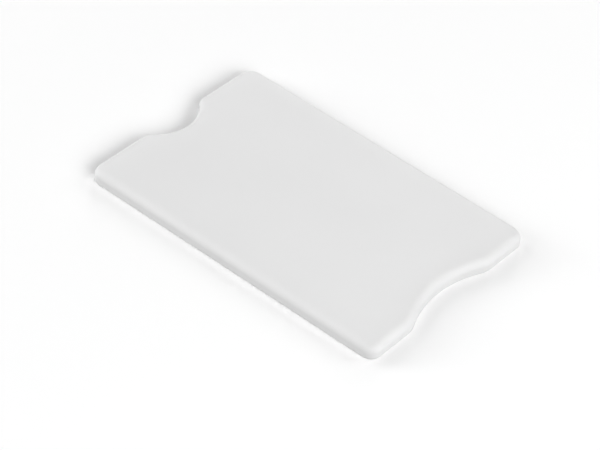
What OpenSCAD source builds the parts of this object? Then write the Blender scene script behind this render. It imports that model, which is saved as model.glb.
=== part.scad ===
// Hard plastic sleeve that screens one bank card from radio readers.
// The sleeve lies flat on its underside. X runs along it, with the card mouth at the -X end,
// Z is up, and the origin is the centre of the underside.

/* [Card] */
// Length of the card that the sleeve is made for
card_l = 85.6; // [80:0.1:92]
// Width of that card
card_w = 54; // [50:0.1:60]

/* [Pocket] */
// Free play of the card to each side
side_play = 0.3; // [0.1:0.05:0.8]
// How far the card's edge lies inside the mouth
mouth_inset = 0.5; // [0:0.1:2]
// Clear height of the pocket, which also takes raised characters
pocket_h = 1.3; // [1:0.05:2]
// Chamfer that leads the card in at the mouth
lead_in = 0.3; // [0.1:0.05:0.4]

/* [Walls] */
// Thickness of the base plate under the pocket
floor_t = 1.1; // [0.9:0.05:2]
// Thickness of the cover's roof over the pocket
roof_t = 2.2; // [1.8:0.05:3]
// Width of the solid wall at each side of the pocket
side_wall = 3.3; // [3:0.1:6]
// Wall between the pocket and the deepest point of the finger hollow
end_wall = 1.2; // [1.1:0.1:3]
// Width of the cover's rim that frames the base plate
rim_w = 0.6; // [0.4:0.05:0.8]

/* [Outline] */
// Radius of the four corners, seen from above
corner_r = 3; // [1.6:0.1:4]
// Depth of the thumb notch in the mouth end
thumb_d = 4.9; // [4.2:0.1:7]
// Width of the thumb notch, between the centres of its shoulders
thumb_w = 23; // [18:0.2:28]
// Radius of the thumb notch's shoulders
thumb_shoulder_r = 2.8; // [1:0.1:5]
// Depth of the finger hollow in the closed end
hollow_d = 3.7; // [2.5:0.1:6]
// Width of the finger hollow, between the centres of its shoulders
hollow_w = 34; // [26:0.2:38]
// Radius of the finger hollow's shoulders
hollow_shoulder_r = 9; // [2:0.1:10]

/* [Edges] */
// Radius of the rounded top edge, seen in section
edge_r = 2.4; // [1.5:0.1:2.8]
// Width of the shallow crown that rises from the rounded edge to the flat top
crown_w = 4; // [1:0.5:5.5]
// Slope of the crown where it meets the rounded edge, in degrees
crown_slope = 11; // [6:0.5:16]
// Radius of the flat top's corners, where the crown ends
flat_round = 4; // [2:0.5:6]
// Radius of the bottom edge
foot_r = 0.25; // [0.1:0.05:0.4]

/* [Weld pegs] */
// Diameter of the pegs under the cover
peg_d = 1.2; // [0.8:0.1:1.4]
// Height of the pegs, which stand in blind sockets of the base plate
peg_h = 0.7; // [0.5:0.05:0.8]
// Gap between a peg and its socket, and between the base plate and its rim
fit_gap = 0.05; // [0.03:0.01:0.1]
// Number of pegs along each side
side_pegs = 4; // [2:1:6]
// Distance of the end pegs from the middle line
end_peg_y = 23; // [22:0.5:25]

/* [Grip bumps] */
// Gap that the bumps leave for the card, a little less than the card's thickness
grip_gap = 0.7; // [0.6:0.02:0.76]
// Radius of a bump's face, seen from the side
bump_r = 4; // [3:0.5:6]
// Length of a bump across the pocket
bump_l = 8; // [4:0.5:9]
// Distance of a bump from the mouth
bump_in = 4.5; // [3.5:0.1:6]
// Distance of a bump from the middle line
bump_y = 20; // [19.5:0.5:22]

/* [Shield] */
// Thickness of each shield foil
foil_t = 0.1; // [0.05:0.01:0.15]
// Thickness of the adhesive film behind each foil
film_t = 0.05; // [0.04:0.01:0.1]
// Bare strip between a foil and what bounds it
foil_margin = 0.8; // [0.5:0.1:3]
// Gap between a foil and the edge of its recess
foil_gap = 0.2; // [0.1:0.05:0.4]
// How far the adhesive film stays inside the foil's edge
film_inset = 0.5; // [0.2:0.1:2]

/* [Hidden] */

// Steps of an arc: corners, notch shoulders and notch floors, then the top edge, crown and bottom edge
corner_steps = 6;
shoulder_steps = 8;
notch_steps = 18;
edge_steps = 7;
crown_steps = 4;
foot_steps = 2;
// Facets of the round pegs and sockets
$fn = 48;
// Smallest radius that a corner keeps where the outline is drawn in
least_r = 0.2;
// How far a cutting shape runs past what it cuts
past = 1;
// How deep a peg or a bump is rooted in the cover
root = 0.3;

pocket_w = card_w + 2 * side_play;
pocket_l = card_l + mouth_inset;
sleeve_l = pocket_l + end_wall + hollow_d;
sleeve_w = pocket_w + 2 * side_wall;
sleeve_t = floor_t + pocket_h + roof_t;
mouth_x = -sleeve_l / 2;
pocket_end_x = mouth_x + pocket_l;
pocket_top = floor_t + pocket_h;

crown_r = crown_w / sin(crown_slope);
crown_h = crown_r * (1 - cos(crown_slope));
edge_in = edge_r * (1 - sin(crown_slope));
wall_top = sleeve_t - crown_h - edge_r * cos(crown_slope);
flat_inset = edge_in + crown_w;

ledge_w = side_wall - rim_w;
side_peg_y = pocket_w / 2 + ledge_w / 2;
side_peg_first_x = mouth_x + corner_r + peg_d;
side_peg_last_x = pocket_end_x - peg_d;
end_peg_x = (pocket_end_x + sleeve_l / 2 - rim_w) / 2;

bump_h = pocket_h - grip_gap;
bump_x = mouth_x + bump_in;
bump_half = sqrt(pow(bump_r, 2) - pow(bump_r - bump_h, 2));

recess_d = foil_t + film_t;
foil_x0 = mouth_x + max(thumb_d, bump_in + bump_half) + foil_margin;
foil_x1 = pocket_end_x - foil_margin;
foil_w = pocket_w - 2 * foil_margin;

// Points of an arc about a centre, from one angle to another
function arc(centre, r, from, to, steps) =
    [for (i = [0:steps]) let (a = from + (to - from) * i / steps)
        centre + r * [cos(a), sin(a)]];

// The points of an arc without its two ends
function inner(points) = [for (i = [1:len(points) - 2]) points[i]];

// One end of the outline, drawn in by inset, from its -Y corner to its +Y corner.
// The notch is an arc that two rounded shoulders join to the straight end.
function end_points(inset, corner, shoulder, notch_w, notch_d, shoulder_r) =
    let (
        end_x = sleeve_l / 2 - inset,
        half_w = sleeve_w / 2 - inset,
        reach = (pow(notch_d, 2) + pow(notch_w / 2, 2)) / (2 * notch_d),
        floor_r = reach - shoulder_r + inset,
        floor_x = sleeve_l / 2 - notch_d + reach - shoulder_r,
        run = floor_x - end_x + shoulder,
        shoulder_y = sqrt(pow(floor_r + shoulder, 2) - pow(run, 2)),
        turn = atan2(shoulder_y, run)
    )
    concat(
        arc([end_x - corner, -half_w + corner], corner, -90, 0, corner_steps),
        arc([end_x - shoulder, -shoulder_y], shoulder, 0, turn, shoulder_steps),
        inner(arc([floor_x, 0], floor_r, 180 + turn, 180 - turn, notch_steps)),
        arc([end_x - shoulder, shoulder_y], shoulder, -turn, 0, shoulder_steps),
        arc([end_x - corner, half_w - corner], corner, 0, 90, corner_steps)
    );

// Radius of a rounded corner at inset, on its way from the outline to the flat top
function blended(r, inset) = r + (flat_round - r) * inset / flat_inset;

// Radius of a rounded corner where the outline is drawn in with an even rim
function drawn_in(r, inset) = max(r - inset, least_r);

// The whole outline at inset: the finger hollow's end, then the thumb notch's end
function outline(inset) =
    let (corner = blended(corner_r, inset))
    concat(
        end_points(inset, corner, blended(hollow_shoulder_r, inset), hollow_w, hollow_d,
            hollow_shoulder_r),
        -end_points(inset, corner, blended(thumb_shoulder_r, inset), thumb_w, thumb_d,
            thumb_shoulder_r)
    );

// Inset and height of each ring of the skin: the rounded foot, the top edge, then the crown
function skin_rings() =
    concat(
        [for (i = [0:foot_steps]) let (a = 90 * i / foot_steps)
            [foot_r * (1 - sin(a)), foot_r * (1 - cos(a))]],
        [for (i = [0:edge_steps]) let (a = (90 - crown_slope) * i / edge_steps)
            [edge_r * (1 - cos(a)), wall_top + edge_r * sin(a)]],
        [for (i = [1:crown_steps]) let (a = crown_slope * (1 - i / crown_steps))
            [flat_inset - crown_r * sin(a), sleeve_t - crown_r * (1 - cos(a))]]
    );

// The sleeve's outer form as one closed solid
module skin() {
    rings = skin_rings();
    n = len(outline(0));
    last = len(rings) - 1;
    points = concat(
        [for (ring = rings) each [for (p = outline(ring[0])) [p.x, p.y, ring[1]]]],
        [[0, 0, 0], [0, 0, sleeve_t]]
    );
    under = len(points) - 2;
    over = len(points) - 1;
    walls = [for (k = [0:last - 1], i = [0:n - 1])
        let (j = (i + 1) % n, a = k * n + i, b = k * n + j)
        each [[a, a + n, b + n], [a, b + n, b]]];
    floor_fan = [for (i = [0:n - 1]) [under, i, (i + 1) % n]];
    top_fan = [for (i = [0:n - 1]) [over, last * n + (i + 1) % n, last * n + i]];
    polyhedron(points, concat(walls, floor_fan, top_fan));
}

// Outline of the base plate's seat, open through the mouth end
module seat_outline(inset) {
    half_w = sleeve_w / 2 - inset;
    polygon(concat(
        end_points(inset, drawn_in(corner_r, inset), drawn_in(hollow_shoulder_r, inset), hollow_w,
            hollow_d, hollow_shoulder_r),
        [[mouth_x - past, half_w], [mouth_x - past, -half_w]]
    ));
}

// Space of the card, with the chamfer that leads it in
module pocket() {
    translate([mouth_x - past, -pocket_w / 2, floor_t])
        cube([pocket_l + past, pocket_w, pocket_h]);
    rotate([90, 0, 0])
        linear_extrude(pocket_w, center = true)
            polygon([
                [mouth_x + lead_in, floor_t],
                [mouth_x + lead_in, pocket_top],
                [mouth_x - past, pocket_top + lead_in + past],
                [mouth_x - past, floor_t - lead_in - past]
            ]);
}

// Runs its children at each weld peg
module at_pegs() {
    for (side = [-1, 1]) {
        for (i = [0:side_pegs - 1])
            translate([
                side_peg_first_x + (side_peg_last_x - side_peg_first_x) * i / (side_pegs - 1),
                side * side_peg_y
            ])
                children();
        translate([end_peg_x, side * end_peg_y])
            children();
    }
}

// A sheet of the shield, grown by grow on each edge
module sheet(grow, t, z) {
    translate([foil_x0 - grow, -foil_w / 2 - grow, z])
        cube([foil_x1 - foil_x0 + 2 * grow, foil_w + 2 * grow, t]);
}

// Half-round bumps under the roof that hold the card by friction
module grip_bumps() {
    for (side = [-1, 1])
        translate([bump_x, side * bump_y])
            intersection() {
                translate([0, 0, pocket_top - bump_h + bump_r])
                    rotate([90, 0, 0])
                        cylinder(r = bump_r, h = bump_l, center = true);
                translate([-bump_half, -bump_l / 2, pocket_top - bump_h])
                    cube([2 * bump_half, bump_l, bump_h + root]);
            }
}

module cover_shell() {
    color("#E6E6E6") {
        difference() {
            skin();
            translate([0, 0, -past])
                linear_extrude(floor_t + past)
                    seat_outline(rim_w);
            pocket();
            sheet(foil_gap, recess_d + past, pocket_top - past);
        }
        translate([0, 0, floor_t - peg_h])
            at_pegs()
                cylinder(d = peg_d, h = peg_h + root);
        grip_bumps();
    }
}

module base_plate() {
    color("#DEDEDE")
        difference() {
            intersection() {
                skin();
                translate([0, 0, -past])
                    linear_extrude(floor_t + past)
                        seat_outline(rim_w + fit_gap);
            }
            pocket();
            sheet(foil_gap, recess_d + past, floor_t - recess_d);
            translate([0, 0, floor_t - peg_h - fit_gap])
                at_pegs()
                    cylinder(d = peg_d + 2 * fit_gap, h = peg_h + fit_gap + past);
        }
}

module upper_shield_foil() {
    color("#B8BCC0")
        sheet(0, foil_t, pocket_top);
}

module upper_foil_adhesive() {
    color("#E9E4D2")
        sheet(-film_inset, film_t, pocket_top + foil_t);
}

module lower_shield_foil() {
    color("#B8BCC0")
        sheet(0, foil_t, floor_t - foil_t);
}

module lower_foil_adhesive() {
    color("#E9E4D2")
        sheet(-film_inset, film_t, floor_t - recess_d);
}

cover_shell();
base_plate();
upper_shield_foil();
upper_foil_adhesive();
lower_shield_foil();
lower_foil_adhesive();
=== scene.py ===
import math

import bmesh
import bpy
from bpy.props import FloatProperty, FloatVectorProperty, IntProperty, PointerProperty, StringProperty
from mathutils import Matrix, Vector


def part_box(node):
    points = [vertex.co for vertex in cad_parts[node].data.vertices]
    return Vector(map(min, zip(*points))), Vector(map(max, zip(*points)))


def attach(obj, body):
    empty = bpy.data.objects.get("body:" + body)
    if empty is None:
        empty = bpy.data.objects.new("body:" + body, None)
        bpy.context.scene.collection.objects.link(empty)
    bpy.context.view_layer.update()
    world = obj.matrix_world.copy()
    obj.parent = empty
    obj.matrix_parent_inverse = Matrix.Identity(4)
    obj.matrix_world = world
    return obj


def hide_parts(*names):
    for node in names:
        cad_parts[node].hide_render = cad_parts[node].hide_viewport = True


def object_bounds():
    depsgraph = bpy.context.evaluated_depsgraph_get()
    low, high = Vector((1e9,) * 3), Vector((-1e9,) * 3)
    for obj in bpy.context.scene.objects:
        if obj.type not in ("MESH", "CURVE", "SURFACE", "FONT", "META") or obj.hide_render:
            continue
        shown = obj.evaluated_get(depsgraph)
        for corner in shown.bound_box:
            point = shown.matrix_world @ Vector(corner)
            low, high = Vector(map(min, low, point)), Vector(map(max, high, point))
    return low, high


bl_info = {
    "name": "Hard Card Sleeve",
    "version": (1, 0, 0),
    "blender": (4, 5, 0),
    "location": "View3D > Sidebar > Card Sleeve",
    "description": "Builds the mouldings, the finishes and the stage of a hard sleeve for one bank card",
    "category": "Object",
}

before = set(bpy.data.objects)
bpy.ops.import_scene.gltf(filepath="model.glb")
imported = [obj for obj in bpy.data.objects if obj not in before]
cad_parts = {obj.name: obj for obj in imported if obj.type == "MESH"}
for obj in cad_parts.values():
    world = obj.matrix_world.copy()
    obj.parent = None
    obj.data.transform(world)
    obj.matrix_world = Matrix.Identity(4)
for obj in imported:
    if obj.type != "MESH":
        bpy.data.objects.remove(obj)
cad_low, cad_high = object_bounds()

MM = 0.001
BODY = "root"
QUARTER = math.pi / 2
# A point this far inside each end of a straight stretch keeps its smooth shading straight
STRAIGHT = 0.2 * MM
# How far a cutting form runs past the face that it opens
PAST = 1 * MM

# Azimuth and elevation in degrees and power in watts of each soft lamp. Azimuth 0 is on the -Y side.
LAMPS = {
    "key": (90, 30, 4.3),
    "side_key": (60, 30, 4.8),
    "side_fill": (330, 30, 1.6),
    "mouth_fill": (270, 30, 2.8),
    "low_mouth_fill": (300, 10, 5.9),
    "far_fill": (150, 30, 2.4),
    "rear_fill": (210, 30, 1.5),
    "low_rear_fill": (210, 10, 2.3),
}


class SleeveForm(bpy.types.PropertyGroup):
    """Sizes of the two mouldings, in metres."""

    length: FloatProperty(
        name="Length", description="Length of the sleeve",
        default=cad_high.x - cad_low.x, unit="LENGTH", precision=5)
    width: FloatProperty(
        name="Width", description="Width of the sleeve",
        default=cad_high.y - cad_low.y, unit="LENGTH", precision=5)
    thickness: FloatProperty(
        name="Thickness", description="Thickness of the sleeve",
        default=cad_high.z - cad_low.z, unit="LENGTH", precision=5)
    floor_t: FloatProperty(
        name="Floor", description="Thickness of the base plate under the pocket",
        default=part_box("base_plate")[1].z, unit="LENGTH", precision=5)
    pocket_h: FloatProperty(
        name="Pocket Height", description="Clear height of the card pocket",
        default=1.3 * MM, unit="LENGTH", precision=5)
    pocket_w: FloatProperty(
        name="Pocket Width", description="Clear width of the card pocket",
        default=54.6 * MM, unit="LENGTH", precision=5)
    pocket_l: FloatProperty(
        name="Pocket Length", description="Depth of the card pocket from the mouth",
        default=86.1 * MM, unit="LENGTH", precision=5)
    lead_in: FloatProperty(
        name="Lead-In", description="Chamfer that leads the card in at the mouth",
        default=0.3 * MM, unit="LENGTH", precision=5)
    rim_w: FloatProperty(
        name="Rim", description="Width of the cover's rim that frames the base plate",
        default=0.6 * MM, unit="LENGTH", precision=5)
    fit_gap: FloatProperty(
        name="Fit Gap", description="Gap round the base plate and round each weld peg",
        default=0.05 * MM, unit="LENGTH", precision=5)
    seam_r: FloatProperty(
        name="Seam Radius", description="Radius of the two moulded edges that meet at the seam",
        default=0.15 * MM, unit="LENGTH", precision=5)

    corner_r: FloatProperty(
        name="Corner Radius", description="Radius of the four corners, seen from above",
        default=3 * MM, unit="LENGTH", precision=5)
    thumb_d: FloatProperty(
        name="Thumb Notch Depth", description="Depth of the thumb notch in the mouth end",
        default=4.9 * MM, unit="LENGTH", precision=5)
    thumb_w: FloatProperty(
        name="Thumb Notch Width", description="Width between the centres of the thumb notch's shoulders",
        default=23 * MM, unit="LENGTH", precision=5)
    thumb_shoulder_r: FloatProperty(
        name="Thumb Shoulder Radius", description="Radius of the thumb notch's shoulders",
        default=2.8 * MM, unit="LENGTH", precision=5)
    hollow_d: FloatProperty(
        name="Finger Hollow Depth", description="Depth of the finger hollow in the closed end",
        default=3.7 * MM, unit="LENGTH", precision=5)
    hollow_w: FloatProperty(
        name="Finger Hollow Width",
        description="Width between the centres of the finger hollow's shoulders",
        default=34 * MM, unit="LENGTH", precision=5)
    hollow_shoulder_r: FloatProperty(
        name="Finger Shoulder Radius", description="Radius of the finger hollow's shoulders",
        default=9 * MM, unit="LENGTH", precision=5)

    edge_r: FloatProperty(
        name="Edge Radius", description="Radius of the rounded top edge, seen in section",
        default=2.4 * MM, unit="LENGTH", precision=5)
    crown_w: FloatProperty(
        name="Crown Width", description="Width of the shallow crown from the rounded edge to the flat top",
        default=4 * MM, unit="LENGTH", precision=5)
    crown_slope: FloatProperty(
        name="Crown Slope", description="Slope of the crown where it meets the rounded edge",
        default=math.radians(11), subtype="ANGLE")
    flat_round: FloatProperty(
        name="Flat Rounding", description="Radius of the flat top's corners, where the crown ends",
        default=4 * MM, unit="LENGTH", precision=5)
    foot_r: FloatProperty(
        name="Foot Radius", description="Radius of the bottom edge",
        default=0.25 * MM, unit="LENGTH", precision=5)

    peg_d: FloatProperty(
        name="Peg Diameter", description="Diameter of the weld pegs",
        default=1.2 * MM, unit="LENGTH", precision=5)
    peg_h: FloatProperty(
        name="Peg Height", description="Height of the weld pegs",
        default=0.7 * MM, unit="LENGTH", precision=5)
    side_pegs: IntProperty(
        name="Side Pegs", description="Number of weld pegs along each side", default=4, min=2)
    end_peg_y: FloatProperty(
        name="End Peg Offset", description="Distance of the end pegs from the middle line",
        default=23 * MM, unit="LENGTH", precision=5)

    grip_gap: FloatProperty(
        name="Grip Gap", description="Gap that the grip bumps leave for the card",
        default=0.7 * MM, unit="LENGTH", precision=5)
    bump_r: FloatProperty(
        name="Bump Radius", description="Radius of a grip bump's face, seen from the side",
        default=4 * MM, unit="LENGTH", precision=5)
    bump_l: FloatProperty(
        name="Bump Length", description="Length of a grip bump across the pocket",
        default=8 * MM, unit="LENGTH", precision=5)
    bump_in: FloatProperty(
        name="Bump Inset", description="Distance of the grip bumps from the mouth",
        default=4.5 * MM, unit="LENGTH", precision=5)
    bump_y: FloatProperty(
        name="Bump Offset", description="Distance of the grip bumps from the middle line",
        default=20 * MM, unit="LENGTH", precision=5)
    foil_gap: FloatProperty(
        name="Foil Gap", description="Gap between a shield foil and the edge of its recess",
        default=0.2 * MM, unit="LENGTH", precision=5)


class SleeveFinish(bpy.types.PropertyGroup):
    """Colours of the finishes, as sRGB hex values."""

    cover_colour: StringProperty(
        name="Cover", description="Colour of the cover's moulded plastic", default="#E4E4E4")
    base_colour: StringProperty(
        name="Base", description="Colour of the base plate's moulded plastic", default="#E2E2E2")
    foil_colour: StringProperty(
        name="Foil", description="Colour of the rolled shield foil", default="#D6D8DA")
    film_colour: StringProperty(
        name="Film", description="Colour of the adhesive film", default="#EFEADB")


class SleeveStage(bpy.types.PropertyGroup):
    """Camera, floor and lamps."""

    azimuth: FloatProperty(
        name="Azimuth", description="Direction of the camera round the sleeve, 0 looking along +Y",
        default=math.radians(34.726), subtype="ANGLE")
    elevation: FloatProperty(
        name="Elevation", description="Height of the camera above the horizon",
        default=math.radians(41.058), subtype="ANGLE")
    roll: FloatProperty(
        name="Roll", description="Turn of the camera about its own axis",
        default=math.radians(7.854), subtype="ANGLE")
    distance: FloatProperty(
        name="Distance", description="Distance of the camera from the point it looks at",
        default=643.178 * MM, unit="LENGTH")
    lens: FloatProperty(
        name="Lens", description="Focal length of the camera in millimetres",
        default=154.924, unit="CAMERA")
    lamp_distance: FloatProperty(
        name="Lamp Distance", description="Distance of each lamp from the sleeve",
        default=1.0, unit="LENGTH")
    lamp_size: FloatProperty(
        name="Lamp Size", description="Diameter of each round lamp", default=0.5, unit="LENGTH")
    room_light: FloatProperty(
        name="Room Light", description="Strength of the even light from all round",
        default=0.015, min=0, precision=3)
    floor_tone: FloatProperty(
        name="Floor Tone", description="How white the floor looks",
        default=0.97, min=0, max=1, subtype="FACTOR")
    floor_bounce: FloatProperty(
        name="Floor Bounce", description="Share of the light that the floor sends back to the sleeve",
        default=0.5, min=0, max=1, subtype="FACTOR")
    floor_lift: FloatProperty(
        name="Floor Lift", description="Takes the look of the lit floor to white, and lights nothing",
        default=0.04, min=0)
    aim: FloatVectorProperty(
        name="Aim", description="Point that the camera looks at",
        default=(1.054 * MM, -3.563 * MM, -1.751 * MM), size=3, unit="LENGTH", precision=5)


def linear(hex_colour):
    """Linear colour with alpha of an sRGB hex value."""
    parts = [int(hex_colour[i:i + 2], 16) / 255 for i in (1, 3, 5)]
    return [p / 12.92 if p <= 0.04045 else ((p + 0.055) / 1.055) ** 2.4 for p in parts] + [1.0]


def add_node(tree, kind, **settings):
    """Adds one node. A setting named after an input goes to that socket, as a link where it is another
    node's output, and the second input of one name is called name_2. Any other setting is set on the
    node itself."""
    node = tree.nodes.new(kind)
    inputs = {socket.name.lower().replace(" ", "_") for socket in node.inputs}
    for key, value in settings.items():
        if key.removesuffix("_2") not in inputs:
            setattr(node, key, value)
    sockets = {}
    for socket in node.inputs:
        if socket.enabled:
            key = socket.name.lower().replace(" ", "_")
            sockets.setdefault(f"{key}_2" if key in sockets else key, socket)
    for key, value in settings.items():
        if isinstance(value, bpy.types.NodeSocket):
            tree.links.new(value, sockets[key])
        elif key in sockets:
            sockets[key].default_value = value
    return node


def fresh_material(name):
    """An empty node material and its output node."""
    material = bpy.data.materials.new(name)
    material.use_nodes = True
    tree = material.node_tree
    tree.nodes.clear()
    return material, tree, tree.nodes.new("ShaderNodeOutputMaterial")


def per_metre(size_mm):
    """Scale of a texture whose features are this many millimetres across."""
    return 1 / (size_mm * MM)


def moulded_abs(name, colour):
    """ABS, moulded in a finely spark-eroded mould. It is softly satin: highlights are broad and dim,
    and the tone hardly varies. The real grain is 0.05 mm across, too fine to show from a step away, so
    it is drawn at 0.4 mm."""
    roughness = 0.6
    grain_mm = 0.4
    flow_mm = 22
    rub_mm = 5
    material, tree, output = fresh_material(name)
    place = add_node(tree, "ShaderNodeTexCoord").outputs["Object"]
    grain = add_node(
        tree, "ShaderNodeTexNoise", vector=place, scale=per_metre(grain_mm), detail=2, roughness=0.6)
    relief = add_node(
        tree, "ShaderNodeBump", height=grain.outputs["Fac"], strength=0.1, distance=0.01 * MM)
    flow = add_node(tree, "ShaderNodeTexNoise", vector=place, scale=per_metre(flow_mm), detail=1)
    tone = add_node(
        tree, "ShaderNodeMapRange", value=flow.outputs["Fac"],
        from_min=0.3, from_max=0.7, to_min=0.992, to_max=1.008)
    tint = add_node(
        tree, "ShaderNodeMix", data_type="RGBA", blend_type="MULTIPLY",
        factor=1.0, a=linear(colour), b=tone.outputs["Result"])
    rub = add_node(tree, "ShaderNodeTexNoise", vector=place, scale=per_metre(rub_mm), detail=3)
    gloss = add_node(
        tree, "ShaderNodeMapRange", value=rub.outputs["Fac"],
        from_min=0.3, from_max=0.7, to_min=roughness - 0.03, to_max=roughness + 0.03)
    shader = add_node(
        tree, "ShaderNodeBsdfPrincipled", base_color=tint.outputs[2], normal=relief.outputs["Normal"],
        roughness=gloss.outputs["Result"], ior=1.54)
    tree.links.new(shader.outputs["BSDF"], output.inputs["Surface"])
    return material


def rolled_foil(name, colour):
    """Bright rolled aluminium. Fine straight rolling lines along the sleeve spread its highlight
    across them. The real lines are 0.02 mm apart, too fine to show, so they are drawn at 0.25 mm."""
    line_mm = 0.25
    stretch = 0.02
    material, tree, output = fresh_material(name)
    place = add_node(tree, "ShaderNodeTexCoord").outputs["Object"]
    drawn = add_node(tree, "ShaderNodeMapping", vector=place, scale=(stretch, 1, 1))
    lines = add_node(
        tree, "ShaderNodeTexNoise", vector=drawn.outputs["Vector"], scale=per_metre(line_mm), detail=3)
    gloss = add_node(
        tree, "ShaderNodeMapRange", value=lines.outputs["Fac"],
        from_min=0.3, from_max=0.7, to_min=0.22, to_max=0.34)
    relief = add_node(
        tree, "ShaderNodeBump", height=lines.outputs["Fac"], strength=0.1, distance=0.005 * MM)
    shader = add_node(
        tree, "ShaderNodeBsdfPrincipled", base_color=linear(colour), metallic=1.0,
        roughness=gloss.outputs["Result"], normal=relief.outputs["Normal"])
    tree.links.new(shader.outputs["BSDF"], output.inputs["Surface"])
    return material


def adhesive_film(name, colour):
    """Clear acrylic adhesive, faintly yellow. It is dull where it has been pressed on and shinier
    over the flat air blisters between, which are 1.5 mm across."""
    blister_mm = 1.5
    material, tree, output = fresh_material(name)
    place = add_node(tree, "ShaderNodeTexCoord").outputs["Object"]
    blisters = add_node(tree, "ShaderNodeTexNoise", vector=place, scale=per_metre(blister_mm), detail=2)
    gloss = add_node(
        tree, "ShaderNodeMapRange", value=blisters.outputs["Fac"],
        from_min=0.5, from_max=0.65, to_min=0.5, to_max=0.2)
    shader = add_node(
        tree, "ShaderNodeBsdfPrincipled", base_color=linear(colour), ior=1.47,
        roughness=gloss.outputs["Result"], transmission_weight=0.6)
    tree.links.new(shader.outputs["BSDF"], output.inputs["Surface"])
    return material


def direction(azimuth, elevation):
    """The way from the sleeve to what stands at an azimuth, 0 on the -Y side, and an elevation."""
    flat = math.cos(elevation)
    return Vector((math.sin(azimuth) * flat, -math.cos(azimuth) * flat, math.sin(elevation)))


def seen_directly(tree):
    """An output that is 1 for what the camera, a gloss or a clear body shows of a surface, and 0 for
    the light that the surface sends on."""
    path = add_node(tree, "ShaderNodeLightPath").outputs
    shown = add_node(
        tree, "ShaderNodeMath", operation="MAXIMUM",
        value=path["Is Camera Ray"], value_2=path["Is Glossy Ray"])
    return add_node(
        tree, "ShaderNodeMath", operation="MAXIMUM",
        value=shown.outputs["Value"], value_2=path["Is Transmission Ray"]).outputs["Value"]


def white_paper(name, stage):
    """Matt white paper that shows the sleeve's soft shadow. It looks white, but sends back to the
    sleeve only the light of a small sheet in a darker room."""
    material, tree, output = fresh_material(name)
    seen = seen_directly(tree)
    tone = add_node(
        tree, "ShaderNodeMapRange", value=seen, to_min=stage.floor_bounce, to_max=stage.floor_tone)
    lift = add_node(tree, "ShaderNodeMapRange", value=seen, to_min=0.0, to_max=stage.floor_lift)
    shader = add_node(
        tree, "ShaderNodeBsdfPrincipled", base_color=tone.outputs["Result"], roughness=1.0,
        specular_ior_level=0.0, emission_color=(1, 1, 1, 1), emission_strength=lift.outputs["Result"])
    tree.links.new(shader.outputs["BSDF"], output.inputs["Surface"])
    return material


def arc(x, y, radius, start, stop, steps):
    """Points of an arc about (x, y), from one angle to another, in radians."""
    angles = [start + (stop - start) * i / steps for i in range(steps + 1)]
    return [(x + radius * math.cos(a), y + radius * math.sin(a)) for a in angles]


def end_points(form, inset, corner, shoulder, notch_w, notch_d, shoulder_r):
    """One end of the outline, drawn in by inset, from its -Y corner to its +Y corner. The notch is an
    arc that two rounded shoulders join to the straight end."""
    corner_steps = 16
    shoulder_steps = 20
    floor_steps = 48
    end_x = form.length / 2 - inset
    half_w = form.width / 2 - inset
    reach = (notch_d ** 2 + (notch_w / 2) ** 2) / (2 * notch_d)
    floor_r = reach - shoulder_r + inset
    floor_x = form.length / 2 - notch_d + reach - shoulder_r
    run = floor_x - end_x + shoulder
    shoulder_y = math.sqrt((floor_r + shoulder) ** 2 - run ** 2)
    turn = math.atan2(shoulder_y, run)
    lower = (
        [(end_x - corner - STRAIGHT, -half_w)]
        + arc(end_x - corner, -half_w + corner, corner, -QUARTER, 0, corner_steps)
        + [(end_x, -half_w + corner + STRAIGHT), (end_x, -shoulder_y - STRAIGHT)]
        + arc(end_x - shoulder, -shoulder_y, shoulder, 0, turn, shoulder_steps)
    )
    floor = arc(floor_x, 0, floor_r, math.pi + turn, math.pi - turn, floor_steps)[1:-1]
    return lower + floor + [(x, -y) for x, y in reversed(lower)]


def flat_inset(form):
    """How far inside the outline the flat top starts."""
    return form.edge_r * (1 - math.sin(form.crown_slope)) + form.crown_w


def outline(form, inset):
    """The whole outline at inset: the finger hollow's end, then the thumb notch's end. Its radii
    change evenly from those of the outline to that of the flat top."""
    share = inset / flat_inset(form)

    def blended(radius):
        return radius + (form.flat_round - radius) * share

    corner = blended(form.corner_r)
    hollow = end_points(
        form, inset, corner, blended(form.hollow_shoulder_r),
        form.hollow_w, form.hollow_d, form.hollow_shoulder_r)
    thumb = end_points(
        form, inset, corner, blended(form.thumb_shoulder_r),
        form.thumb_w, form.thumb_d, form.thumb_shoulder_r)
    return hollow + [(-x, -y) for x, y in thumb]


def seat_outline(form, inset):
    """Outline of the base plate's seat, open through the mouth end."""
    least_r = 0.2 * MM
    half_w = form.width / 2 - inset
    beyond = -form.length / 2 - PAST
    return end_points(
        form, inset, max(form.corner_r - inset, least_r), max(form.hollow_shoulder_r - inset, least_r),
        form.hollow_w, form.hollow_d, form.hollow_shoulder_r,
    ) + [(beyond, half_w), (beyond, -half_w)]


def loft(name, rings):
    """A closed mesh object through rings of as many points each, with a flat cap at both ends."""
    mesh = bpy.data.meshes.new(name)
    shape = bmesh.new()
    rows = [[shape.verts.new(point) for point in ring] for ring in rings]
    for row, following in zip(rows, rows[1:]):
        for i, vertex in enumerate(row):
            shape.faces.new((row[i - 1], vertex, following[i], following[i - 1]))
    shape.faces.new(reversed(rows[0]))
    shape.faces.new(rows[-1])
    bmesh.ops.recalc_face_normals(shape, faces=shape.faces)
    shape.to_mesh(mesh)
    shape.free()
    piece = bpy.data.objects.new(name, mesh)
    bpy.context.scene.collection.objects.link(piece)
    return piece


def lifted(points, z):
    """Flat points as a ring at height z."""
    return [(x, y, z) for x, y in points]


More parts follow.
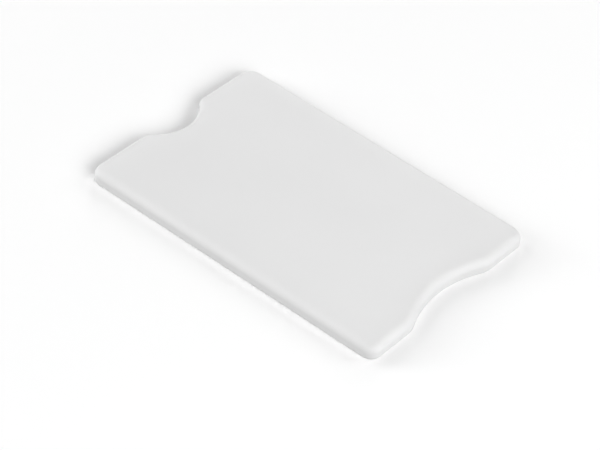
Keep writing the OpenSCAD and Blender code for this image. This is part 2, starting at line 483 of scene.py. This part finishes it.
def joined(name, parts):
    """One object of several closed meshes that don't touch. The parts are removed."""
    shape = bmesh.new()
    for part in parts:
        shape.from_mesh(part.data)
        discard(part)
    mesh = bpy.data.meshes.new(name)
    shape.to_mesh(mesh)
    shape.free()
    whole = bpy.data.objects.new(name, mesh)
    bpy.context.scene.collection.objects.link(whole)
    return whole


def discard(piece):
    """Removes an object with its mesh."""
    mesh = piece.data
    bpy.data.objects.remove(piece)
    bpy.data.meshes.remove(mesh)


def combined(piece, tool, operation):
    """Cuts tool from piece, joins it on or keeps what both share, and removes the tool."""
    step = piece.modifiers.new(tool.name, "BOOLEAN")
    step.operation = operation
    step.solver = "EXACT"
    step.object = tool
    bpy.context.view_layer.update()
    shaped = bpy.data.meshes.new_from_object(piece.evaluated_get(bpy.context.evaluated_depsgraph_get()))
    piece.modifiers.clear()
    worn, piece.data = piece.data, shaped
    bpy.data.meshes.remove(worn)
    discard(tool)


def skin(form, name):
    """The sleeve's outer form: a rounded foot, upright walls, a rounded top edge and a shallow crown
    that rises to the flat top."""
    foot_steps = 4
    edge_steps = 20
    crown_steps = 10
    slope = form.crown_slope
    flat = flat_inset(form)
    crown_r = form.crown_w / math.sin(slope)
    wall_top = form.thickness - crown_r * (1 - math.cos(slope)) - form.edge_r * math.cos(slope)
    rings = []
    for i in range(foot_steps + 1):
        turn = QUARTER * i / foot_steps
        rings.append((form.foot_r * (1 - math.sin(turn)), form.foot_r * (1 - math.cos(turn))))
    for i in range(edge_steps + 1):
        turn = (QUARTER - slope) * i / edge_steps
        rings.append((form.edge_r * (1 - math.cos(turn)), wall_top + form.edge_r * math.sin(turn)))
    for i in range(1, crown_steps + 1):
        turn = slope * (1 - i / crown_steps)
        rings.append((flat - crown_r * math.sin(turn), form.thickness - crown_r * (1 - math.cos(turn))))
    rings.append((flat + STRAIGHT, form.thickness))
    return loft(name, [lifted(outline(form, inset), z) for inset, z in rings])


def seat_block(form, name, inset, flare):
    """The space of the base plate, or the plate itself. Its lower edge is rounded by the seam's
    radius, outward where flare is 1 and inward where it is -1."""
    steps = 4
    rings = [(inset, form.floor_t)]
    for i in range(steps + 1):
        turn = QUARTER * i / steps
        rings.append((
            inset - flare * form.seam_r * (1 - math.cos(turn)),
            form.seam_r * (1 - math.sin(turn)),
        ))
    if flare > 0:
        rings.append((rings[-1][0], -PAST))
    return loft(name, [lifted(seat_outline(form, ring_inset), z) for ring_inset, z in rings])


def bar_along_y(name, profile, middle, half):
    """A bar with an XZ profile that runs along Y."""
    return loft(name, [[(x, y, z) for x, z in profile] for y in (middle - half, middle + half)])


def peg_places(form):
    """Where the weld pegs stand: a row in each side wall and two in the closed end's wall."""
    pocket_end = -form.length / 2 + form.pocket_l
    side_wall = (form.width - form.pocket_w) / 2
    side_y = form.pocket_w / 2 + (side_wall - form.rim_w) / 2
    first = -form.length / 2 + form.corner_r + form.peg_d
    last = pocket_end - form.peg_d
    end_x = (pocket_end + form.length / 2 - form.rim_w) / 2
    places = []
    for side in (-1, 1):
        for i in range(form.side_pegs):
            places.append((first + (last - first) * i / (form.side_pegs - 1), side * side_y))
        places.append((end_x, side * form.end_peg_y))
    return places


def post(name, x, y, radius, low, high):
    """A round post with a small chamfer at its lower end."""
    circle_steps = 48
    chamfer = 0.1 * MM
    return loft(name, [
        lifted(arc(x, y, radius - chamfer, 0, math.tau, circle_steps)[:-1], low),
        lifted(arc(x, y, radius, 0, math.tau, circle_steps)[:-1], low + chamfer),
        lifted(arc(x, y, radius, 0, math.tau, circle_steps)[:-1], high),
    ])


def recess(form, foil, name, low, high):
    """The space that a shield foil is let into."""
    foil_low, foil_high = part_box(foil)
    gap = form.foil_gap
    corners = [
        (foil_low.x - gap, foil_low.y - gap), (foil_high.x + gap, foil_low.y - gap),
        (foil_high.x + gap, foil_high.y + gap), (foil_low.x - gap, foil_high.y + gap),
    ]
    return loft(name, [lifted(corners, low), lifted(corners, high)])


def finished(piece, material, node):
    """Merges doubled points, shades the piece smooth between its sharp edges, gives it its material
    and lets it ride in the place of its CAD node."""
    same_place = 1e-7
    sharp_from = math.radians(30)
    shape = bmesh.new()
    shape.from_mesh(piece.data)
    bmesh.ops.remove_doubles(shape, verts=shape.verts, dist=same_place)
    shape.to_mesh(piece.data)
    shape.free()
    piece.data.shade_smooth()
    piece.data.set_sharp_from_angle(angle=sharp_from)
    piece.data.materials.clear()
    piece.data.materials.append(material)
    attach(piece, BODY)
    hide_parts(node)


class CARD_SLEEVE_OT_cover(bpy.types.Operator):
    """Builds the moulded cover, with its pocket, weld pegs and grip bumps"""

    bl_idname = "card_sleeve.cover"
    bl_label = "Cover"

    def execute(self, context):
        form = context.scene.sleeve_form
        finish = context.scene.sleeve_finish
        mouth = -form.length / 2
        pocket_top = form.floor_t + form.pocket_h
        recess_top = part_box("upper_foil_adhesive")[1].z

        cover = skin(form, "moulded_cover")
        combined(cover, seat_block(form, "seat", form.rim_w, 1), "DIFFERENCE")
        pocket_end = mouth + form.pocket_l
        half_pocket = form.pocket_w / 2
        below = form.floor_t / 2
        combined(cover, bar_along_y("pocket", [
            (mouth - PAST, below), (pocket_end, below), (pocket_end, pocket_top),
            (mouth + form.lead_in, pocket_top), (mouth - PAST, pocket_top + form.lead_in + PAST),
        ], 0, half_pocket), "DIFFERENCE")
        combined(
            cover, recess(form, "upper_shield_foil", "foil_recess", pocket_top - PAST, recess_top),
            "DIFFERENCE")

        # The pegs and bumps reach this far into the cover
        root = 0.3 * MM
        face_steps = 24
        grown = [
            post("peg", x, y, form.peg_d / 2, form.floor_t - form.peg_h, form.floor_t + root)
            for x, y in peg_places(form)]
        bump_h = form.pocket_h - form.grip_gap
        half = math.acos((form.bump_r - bump_h) / form.bump_r)
        bump_x = mouth + form.bump_in
        face = arc(
            bump_x, pocket_top - bump_h + form.bump_r, form.bump_r,
            -QUARTER - half, -QUARTER + half, face_steps)
        profile = face + [(face[-1][0], pocket_top + root), (face[0][0], pocket_top + root)]
        grown += [
            bar_along_y("bump", profile, side * form.bump_y, form.bump_l / 2) for side in (-1, 1)]
        combined(cover, joined("pegs_and_bumps", grown), "UNION")

        material = moulded_abs("satin_moulded_abs", finish.cover_colour)
        finished(cover, material, "cover_shell")
        return {"FINISHED"}


class CARD_SLEEVE_OT_base(bpy.types.Operator):
    """Builds the moulded base plate, with the sockets of the pegs and the recess of its foil"""

    bl_idname = "card_sleeve.base"
    bl_label = "Base Plate"

    def execute(self, context):
        form = context.scene.sleeve_form
        finish = context.scene.sleeve_finish
        mouth = -form.length / 2
        above = form.floor_t + PAST
        recess_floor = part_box("lower_foil_adhesive")[0].z

        base = skin(form, "moulded_base")
        combined(base, seat_block(form, "plate", form.rim_w + form.fit_gap, -1), "INTERSECT")
        combined(base, bar_along_y("lead_in", [
            (mouth + form.lead_in + PAST, above), (mouth - PAST, above),
            (mouth - PAST, form.floor_t - form.lead_in - PAST), (mouth + form.lead_in, form.floor_t),
        ], 0, form.pocket_w / 2), "DIFFERENCE")
        combined(
            base, recess(form, "lower_shield_foil", "foil_recess", recess_floor, above), "DIFFERENCE")
        sockets = [
            post(
                "socket", x, y, form.peg_d / 2 + form.fit_gap,
                form.floor_t - form.peg_h - form.fit_gap, above)
            for x, y in peg_places(form)]
        combined(base, joined("sockets", sockets), "DIFFERENCE")

        material = moulded_abs("satin_moulded_abs_base", finish.base_colour)
        finished(base, material, "base_plate")
        return {"FINISHED"}


class CARD_SLEEVE_OT_shield(bpy.types.Operator):
    """Gives the two shield foils and their adhesive films their finishes"""

    bl_idname = "card_sleeve.shield"
    bl_label = "Shield"

    def execute(self, context):
        finish = context.scene.sleeve_finish
        foil = rolled_foil("rolled_aluminium_foil", finish.foil_colour)
        film = adhesive_film("clear_acrylic_adhesive", finish.film_colour)
        for node, material in (
                ("upper_shield_foil", foil), ("lower_shield_foil", foil),
                ("upper_foil_adhesive", film), ("lower_foil_adhesive", film)):
            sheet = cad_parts[node]
            sheet.data.materials.clear()
            sheet.data.materials.append(material)
        return {"FINISHED"}


class CARD_SLEEVE_OT_stage(bpy.types.Operator):
    """Sets up the camera, the white floor, the lamps and the world"""

    bl_idname = "card_sleeve.stage"
    bl_label = "Stage"

    def execute(self, context):
        stage = context.scene.sleeve_stage
        scene = context.scene
        self.add_camera(scene, stage)
        self.add_floor(stage)
        self.add_lamps(scene, stage)
        self.add_world(scene, stage)
        scene.view_settings.view_transform = "Standard"
        return {"FINISHED"}

    def add_camera(self, scene, stage):
        """Looks at the aim from the given side, turned about its own axis by the roll."""
        back = direction(stage.azimuth, stage.elevation)
        camera = bpy.data.objects.new("camera", bpy.data.cameras.new("camera"))
        scene.collection.objects.link(camera)
        camera.data.sensor_width = 36
        camera.data.lens = stage.lens
        camera.data.clip_start = 0.01
        camera.data.clip_end = 20
        camera.location = Vector(stage.aim) + back * stage.distance
        upright = (-back).to_track_quat("-Z", "Y").to_matrix().to_4x4()
        camera.matrix_world = (
            Matrix.Translation(camera.location) @ upright @ Matrix.Rotation(stage.roll, 4, "Z"))
        scene.camera = camera

    def add_floor(self, stage):
        """A broad slab with its top at the sleeve's underside."""
        half = 3
        depth = 0.02
        floor = loft("floor", [
            [(x * half, y * half, z) for x, y in ((-1, -1), (1, -1), (1, 1), (-1, 1))]
            for z in (-depth, 0)])
        floor.data.materials.append(white_paper("matt_white_paper", stage))

    def add_lamps(self, scene, stage):
        """Round soft lamps, each turned to the sleeve."""
        for name, (azimuth, elevation, watts) in LAMPS.items():
            away = direction(math.radians(azimuth), math.radians(elevation))
            light = bpy.data.lights.new(name, "AREA")
            light.shape = "DISK"
            light.size = stage.lamp_size
            light.energy = watts
            lamp = bpy.data.objects.new(name, light)
            lamp.location = away * stage.lamp_distance
            lamp.rotation_euler = away.to_track_quat("Z", "Y").to_euler()
            scene.collection.objects.link(lamp)

    def add_world(self, scene, stage):
        """An even and very faint light from all round."""
        world = bpy.data.worlds.new("room")
        world.use_nodes = True
        scene.world = world
        room = world.node_tree.nodes["Background"]
        room.inputs["Color"].default_value = (1, 1, 1, 1)
        room.inputs["Strength"].default_value = stage.room_light


class CARD_SLEEVE_PT_panel(bpy.types.Panel):
    """Lists the steps that build the sleeve"""

    bl_label = "Card Sleeve"
    bl_idname = "CARD_SLEEVE_PT_panel"
    bl_space_type = "VIEW_3D"
    bl_region_type = "UI"
    bl_category = "Card Sleeve"

    def draw(self, context):
        for operator in OPERATORS:
            self.layout.operator(operator.bl_idname)


GROUPS = {"sleeve_form": SleeveForm, "sleeve_finish": SleeveFinish, "sleeve_stage": SleeveStage}
OPERATORS = (CARD_SLEEVE_OT_stage, CARD_SLEEVE_OT_cover, CARD_SLEEVE_OT_base, CARD_SLEEVE_OT_shield)
CLASSES = (*GROUPS.values(), *OPERATORS, CARD_SLEEVE_PT_panel)


def register():
    for cls in CLASSES:
        bpy.utils.register_class(cls)
    for name, group in GROUPS.items():
        setattr(bpy.types.Scene, name, PointerProperty(type=group))


def unregister():
    for name in GROUPS:
        delattr(bpy.types.Scene, name)
    for cls in reversed(CLASSES):
        bpy.utils.unregister_class(cls)


def main():
    register()
    bpy.ops.card_sleeve.stage()
    bpy.ops.card_sleeve.cover()
    bpy.ops.card_sleeve.base()
    bpy.ops.card_sleeve.shield()


if __name__ == "__main__":
    main()
